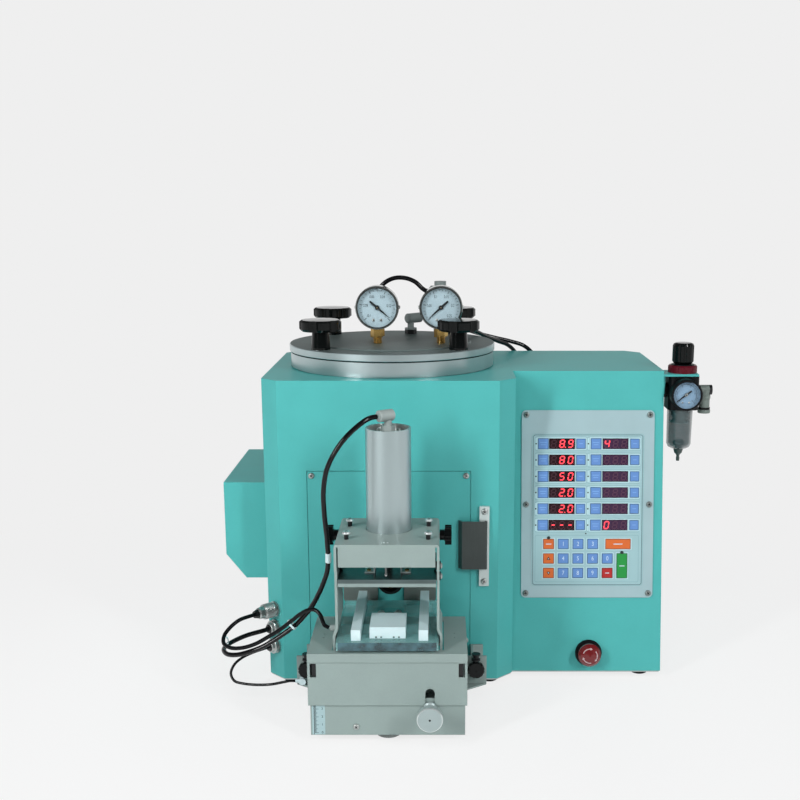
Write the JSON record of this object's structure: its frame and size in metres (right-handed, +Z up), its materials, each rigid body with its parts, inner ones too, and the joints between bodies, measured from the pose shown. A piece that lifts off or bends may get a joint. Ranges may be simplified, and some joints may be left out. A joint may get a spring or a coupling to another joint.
{
  "type": "vacuum wax injector",
  "caption": "Bench wax injector: turquoise cabinet with a lidded vacuum pot and gauges, slanted keypad console, air regulator and a pneumatic mould clamp before the nozzle.",
  "frame": {"origin": "centre of the footprint box, on the surface that the feet stand on", "axes": "+X to the right as seen from the front, +Y from front to rear, +Z up"},
  "size_m": [0.646, 0.5192, 0.5249],
  "materials": {
    "turquoise_paint": "smooth semi-gloss turquoise paint on steel sheet",
    "light_paint": "warm light grey powder coat on bent steel",
    "aluminium_satin": "satin turned aluminium",
    "aluminium_lid": "satin turned aluminium plate",
    "zinc_steel": "zinc plated steel",
    "polished_steel": "polished steel sheet that mirrors the dark room",
    "steel": "ground steel",
    "chrome_rod": "chromed round bar",
    "brass": "bright turned brass",
    "black_plastic": "glossy black phenolic",
    "black_matte": "matt black plastic",
    "rubber": "matt black rubber",
    "gasket": "flat black rubber gasket",
    "hose": "matt black polyurethane hose",
    "grey_plastic": "light grey plastic push-in fitting",
    "white_plastic": "white milled plastic",
    "panel_film": "pale blue printed film",
    "panel_plate": "pale blue-grey anodised plate",
    "clear_acrylic": "clear acrylic plate",
    "gauge_glass": "flat clear gauge glass",
    "smoke_bowl": "smoke-tinted clear polycarbonate",
    "gauge_steel": "polished stainless steel case",
    "red_plastic": "glossy red plastic",
    "regulator_black": "black enamelled die casting with a dark red nut"
  },
  "bodies": {
    "housing": {"main_housing": "turquoise_paint", "console_housing": "turquoise_paint", "side_housing": "turquoise_paint", "base_plate": "zinc_steel", "rear_cover": "turquoise_paint", "feet": "rubber", "front_cover": "turquoise_paint", "cover_screws": "zinc_steel", "wax_pot": "aluminium_satin", "pot_gasket": "gasket", "nozzle_guard": "black_matte", "front_plates": "light_paint", "shield_plate": "polished_steel", "control_panel": "panel_plate", "keypad": "panel_film", "estop_collar": "grey_plastic", "regulator_bracket": "turquoise_paint", "regulator_body": "regulator_black", "filter_bowl": "smoke_bowl", "regulator_gauge": "gauge_steel", "air_fittings": "grey_plastic", "panel_sockets": "zinc_steel", "clamp_brackets": "zinc_steel", "clamp_box": "light_paint", "clamp_hoses": "hose", "cable_plugs": "zinc_steel"},
    "lid": {"lid": "aluminium_lid", "gauge_cases": "gauge_steel", "gauge_glasses": "gauge_glass", "gauge_fittings": "brass", "lid_elbows": "grey_plastic", "lid_hoses": "hose"},
    "vacuum_pointer": {"vacuum_pointer": "black_matte"},
    "pressure_pointer": {"pressure_pointer": "black_matte"},
    "lid_knob_1": {"lid_knob_1": "black_plastic"},
    "lid_knob_2": {"lid_knob_2": "black_plastic"},
    "lid_knob_3": {"lid_knob_3": "black_plastic"},
    "lid_knob_4": {"lid_knob_4": "black_plastic"},
    "regulator_pointer": {"regulator_pointer": "black_matte"},
    "regulator_knob": {"regulator_knob": "black_plastic"},
    "filter_drain": {"filter_drain": "black_matte"},
    "estop_button": {"estop_button": "red_plastic"},
    "nozzle": {"nozzle": "brass"},
    "bracket_knob_left": {"bracket_knob_left": "black_plastic"},
    "bracket_knob_right": {"bracket_knob_right": "black_plastic"},
    "lock_knob": {"lock_knob": "aluminium_satin"},
    "height_wheel": {"height_wheel": "zinc_steel"},
    "clamp_lift": {"sliding_cover": "light_paint", "guide_rods": "chrome_rod"},
    "clamp_carriage": {"clamp_frame": "light_paint", "carriage": "aluminium_satin", "cylinder": "aluminium_satin", "cylinder_elbow": "grey_plastic", "frame_screws": "zinc_steel", "platform": "clear_acrylic", "mould_guides": "white_plastic"},
    "star_knob_left": {"star_knob_left": "black_plastic"},
    "star_knob_right": {"star_knob_right": "black_plastic"},
    "press": {"press_plate": "steel", "piston_rod": "chrome_rod"}
  },
  "joints": [
    {"name": "lid_lift", "type": "slide", "parent": "housing", "child": "lid", "axis": [0, 0, 1], "range_m": [0, 0.08]},
    {"name": "vacuum_needle", "type": "hinge", "parent": "lid", "child": "vacuum_pointer", "pos_m": [-0.121, 0.051, 0.4862], "axis": [0, -1, 0], "range_deg": [0, 270], "stiffness_Nm_per_rad": 0.001, "springref_deg": -17.19},
    {"name": "pressure_needle", "type": "hinge", "parent": "lid", "child": "pressure_pointer", "pos_m": [-0.037, 0.051, 0.4862], "axis": [0, 1, 0], "range_deg": [0, 270], "stiffness_Nm_per_rad": 0.001, "springref_deg": -17.19},
    {"name": "lid_knob_1_turn", "type": "hinge", "parent": "lid", "child": "lid_knob_1", "pos_m": [-0.01461, 0.18139, 0.44], "axis": [0, 0, 1], "range_deg": [0, 720]},
    {"name": "lid_knob_2_turn", "type": "hinge", "parent": "lid", "child": "lid_knob_2", "pos_m": [-0.19139, 0.18139, 0.44], "axis": [0, 0, 1], "range_deg": [0, 720]},
    {"name": "lid_knob_3_turn", "type": "hinge", "parent": "lid", "child": "lid_knob_3", "pos_m": [-0.19139, 0.00461, 0.44], "axis": [0, 0, 1], "range_deg": [0, 720]},
    {"name": "lid_knob_4_turn", "type": "hinge", "parent": "lid", "child": "lid_knob_4", "pos_m": [-0.01461, 0.00461, 0.44], "axis": [0, 0, 1], "range_deg": [0, 720]},
    {"name": "regulator_needle", "type": "hinge", "parent": "housing", "child": "regulator_pointer", "pos_m": [0.2825, 0.012, 0.3765], "axis": [0, 1, 0], "range_deg": [0, 270], "stiffness_Nm_per_rad": 0.001, "springref_deg": -17.19},
    {"name": "regulator_knob_turn", "type": "hinge", "parent": "housing", "child": "regulator_knob", "pos_m": [0.283, 0.046, 0.42], "axis": [0, 0, 1], "range_deg": [0, 1080]},
    {"name": "drain_turn", "type": "hinge", "parent": "housing", "child": "filter_drain", "pos_m": [0.282, 0.046, 0.3], "axis": [0, 0, 1], "range_deg": [0, 90]},
    {"name": "estop_press", "type": "slide", "parent": "housing", "child": "estop_button", "axis": [0, 0.989, -0.1481], "range_m": [0, 0.004]},
    {"name": "nozzle_push", "type": "slide", "parent": "housing", "child": "nozzle", "axis": [0, 1, 0], "range_m": [0, 0.003], "stiffness_N_per_m": 1500, "springref_m": -0.003},
    {"name": "bracket_knob_left_turn", "type": "hinge", "parent": "housing", "child": "bracket_knob_left", "pos_m": [-0.206, -0.111, 0.047], "axis": [0, 1, 0], "range_deg": [0, 720]},
    {"name": "bracket_knob_right_turn", "type": "hinge", "parent": "housing", "child": "bracket_knob_right", "pos_m": [0.007, -0.111, 0.047], "axis": [0, 1, 0], "range_deg": [0, 720]},
    {"name": "lock_knob_turn", "type": "hinge", "parent": "housing", "child": "lock_knob", "pos_m": [-0.05, -0.249, 0.046], "axis": [0, 1, 0], "range_deg": [0, 360]},
    {"name": "height_wheel_turn", "type": "hinge", "parent": "housing", "child": "height_wheel", "pos_m": [-0.0995, -0.199, 0.006], "axis": [0, 0, 1], "range_deg": [-810, 180]},
    {"name": "clamp_height", "type": "slide", "parent": "housing", "child": "clamp_lift", "axis": [0, 0, 1], "range_m": [-0.018, 0.004]},
    {"name": "clamp_travel", "type": "slide", "parent": "clamp_lift", "child": "clamp_carriage", "axis": [0, 1, 0], "range_m": [0, 0.015]},
    {"name": "star_knob_left_turn", "type": "hinge", "parent": "clamp_carriage", "child": "star_knob_left", "pos_m": [-0.167, -0.139, 0.231], "axis": [1, 0, 0], "range_deg": [0, 720]},
    {"name": "star_knob_right_turn", "type": "hinge", "parent": "clamp_carriage", "child": "star_knob_right", "pos_m": [-0.032, -0.139, 0.231], "axis": [1, 0, 0], "range_deg": [0, 720]},
    {"name": "press_stroke", "type": "slide", "parent": "clamp_carriage", "child": "press", "axis": [0, 0, 1], "range_m": [-0.045, 0], "stiffness_N_per_m": 200, "springref_m": 0.06}
  ],
  "couplings": [
    {"joint": "height_wheel_turn", "follows": "clamp_height", "rad_per_m": 785.4}
  ]
}
